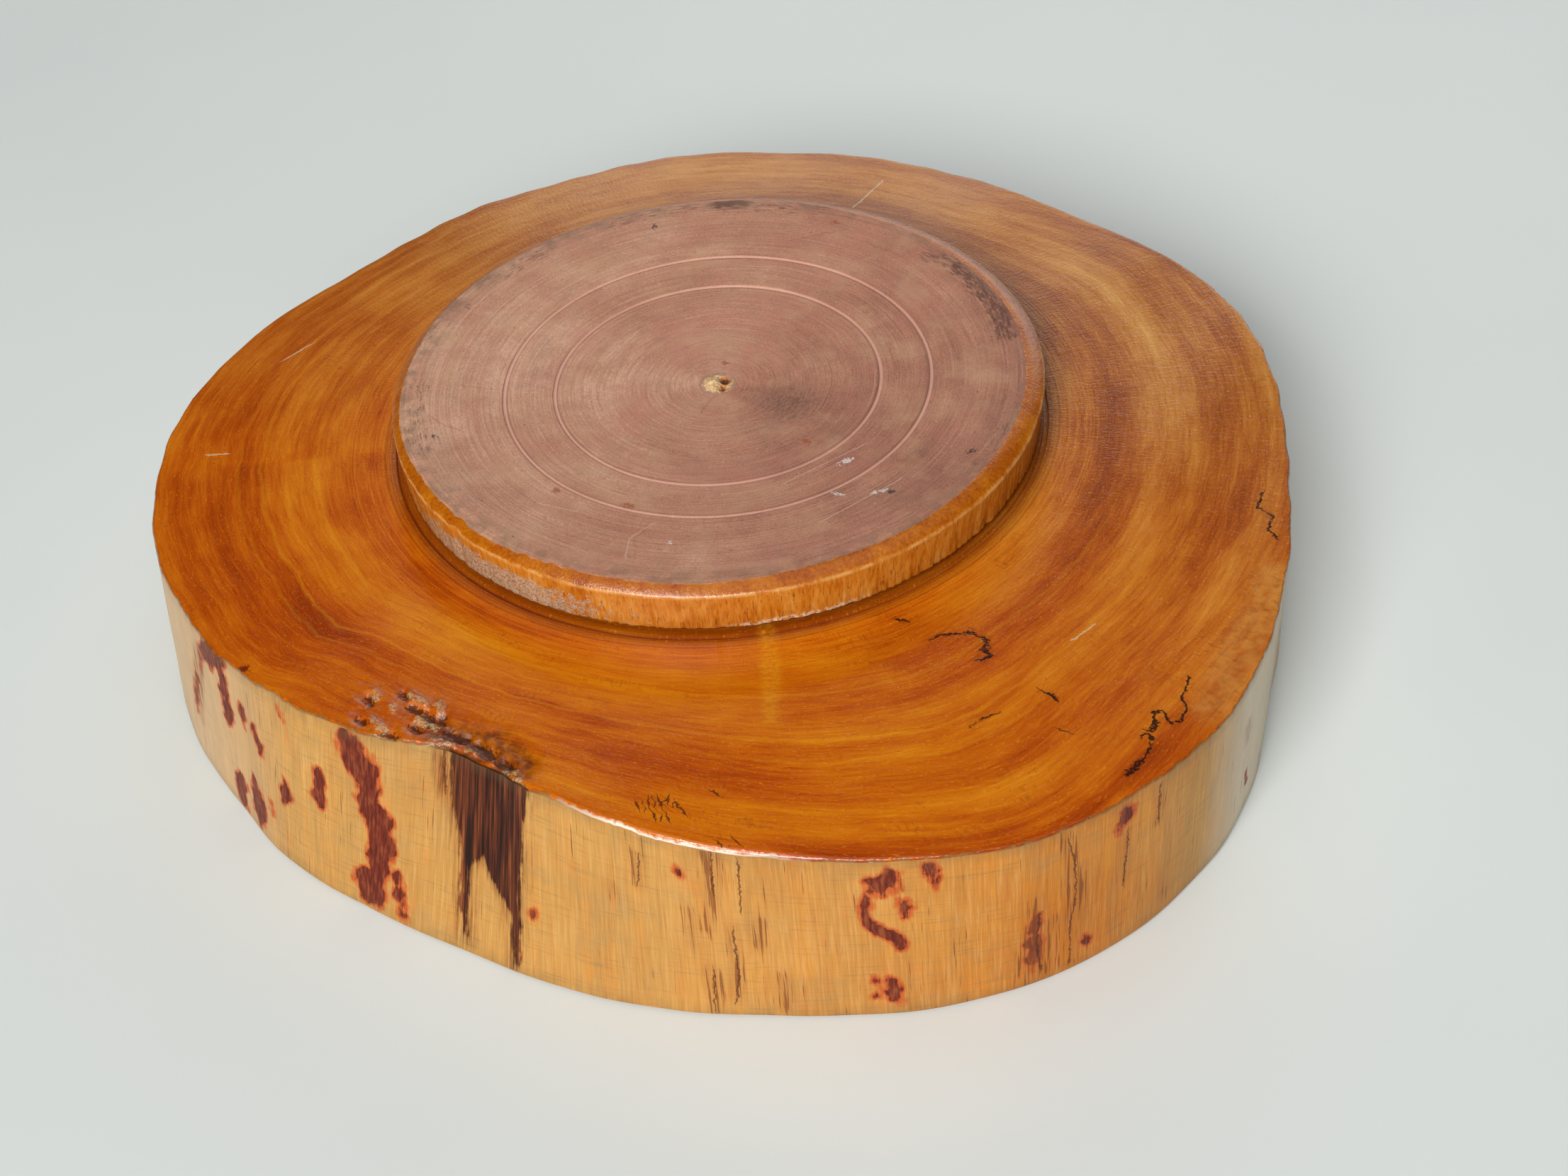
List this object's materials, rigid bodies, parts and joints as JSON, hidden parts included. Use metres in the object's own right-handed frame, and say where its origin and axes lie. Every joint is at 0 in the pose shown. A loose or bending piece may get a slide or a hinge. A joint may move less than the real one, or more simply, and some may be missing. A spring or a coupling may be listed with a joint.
{
  "type": "lazy susan turntable",
  "caption": "Thick live-edge log slice that turns on a round wooden base through a recessed ball ring, shown upside down with the base on top.",
  "frame": {"origin": "the point where the spin axis meets the tray's face, which lies on the table", "axes": "+Z along the spin axis, from the tray's face to the base's outer face; the object lies upside down, so in use +Z points down; +X and +Y lie in the tray's face, with the hollow in the live edge at 240 degrees from +X towards +Y"},
  "size_m": [0.4053, 0.4045, 0.088],
  "materials": {
    "tray_wood": "amber varnish on the faces, paler side wall",
    "base_wood": "bare turned face, varnished rim",
    "plug_wood": "torn bare end grain",
    "race_steel": "ground steel, lightly greased",
    "ball_steel": "polished",
    "cage_nylon": "moulded",
    "screw_steel": "zinc plated",
    "bolt_steel": "black oxide",
    "pivot_brass": "machined"
  },
  "bodies": {
    "tray": {"tray": "tray_wood", "tray_race": "race_steel", "tray_race_screw_1": "screw_steel", "tray_race_screw_2": "screw_steel", "tray_race_screw_3": "screw_steel", "tray_race_screw_4": "screw_steel", "pivot_insert": "pivot_brass", "pivot_bolt": "bolt_steel"},
    "base": {"base_disc": "base_wood", "base_race": "race_steel", "base_race_screw_1": "screw_steel", "base_race_screw_2": "screw_steel", "base_race_screw_3": "screw_steel", "base_race_screw_4": "screw_steel", "pivot_washer": "screw_steel", "pivot_bushing": "pivot_brass", "pivot_plug": "plug_wood"},
    "cage": {"ball_cage": "cage_nylon", "ball_1": "ball_steel", "ball_2": "ball_steel", "ball_3": "ball_steel", "ball_4": "ball_steel", "ball_5": "ball_steel", "ball_6": "ball_steel", "ball_7": "ball_steel", "ball_8": "ball_steel", "ball_9": "ball_steel", "ball_10": "ball_steel", "ball_11": "ball_steel", "ball_12": "ball_steel", "ball_13": "ball_steel", "ball_14": "ball_steel", "ball_15": "ball_steel", "ball_16": "ball_steel"}
  },
  "joints": [
    {"name": "base_spin", "type": "hinge", "parent": "tray", "child": "base", "pos_m": [0, 0, 0.07], "axis": [0, 0, 1], "continuous": true},
    {"name": "cage_spin", "type": "hinge", "parent": "tray", "child": "cage", "pos_m": [0, 0, 0.069], "axis": [0, 0, 1], "continuous": true}
  ],
  "couplings": [
    {"joint": "cage_spin", "follows": "base_spin", "ratio": 0.5}
  ]
}
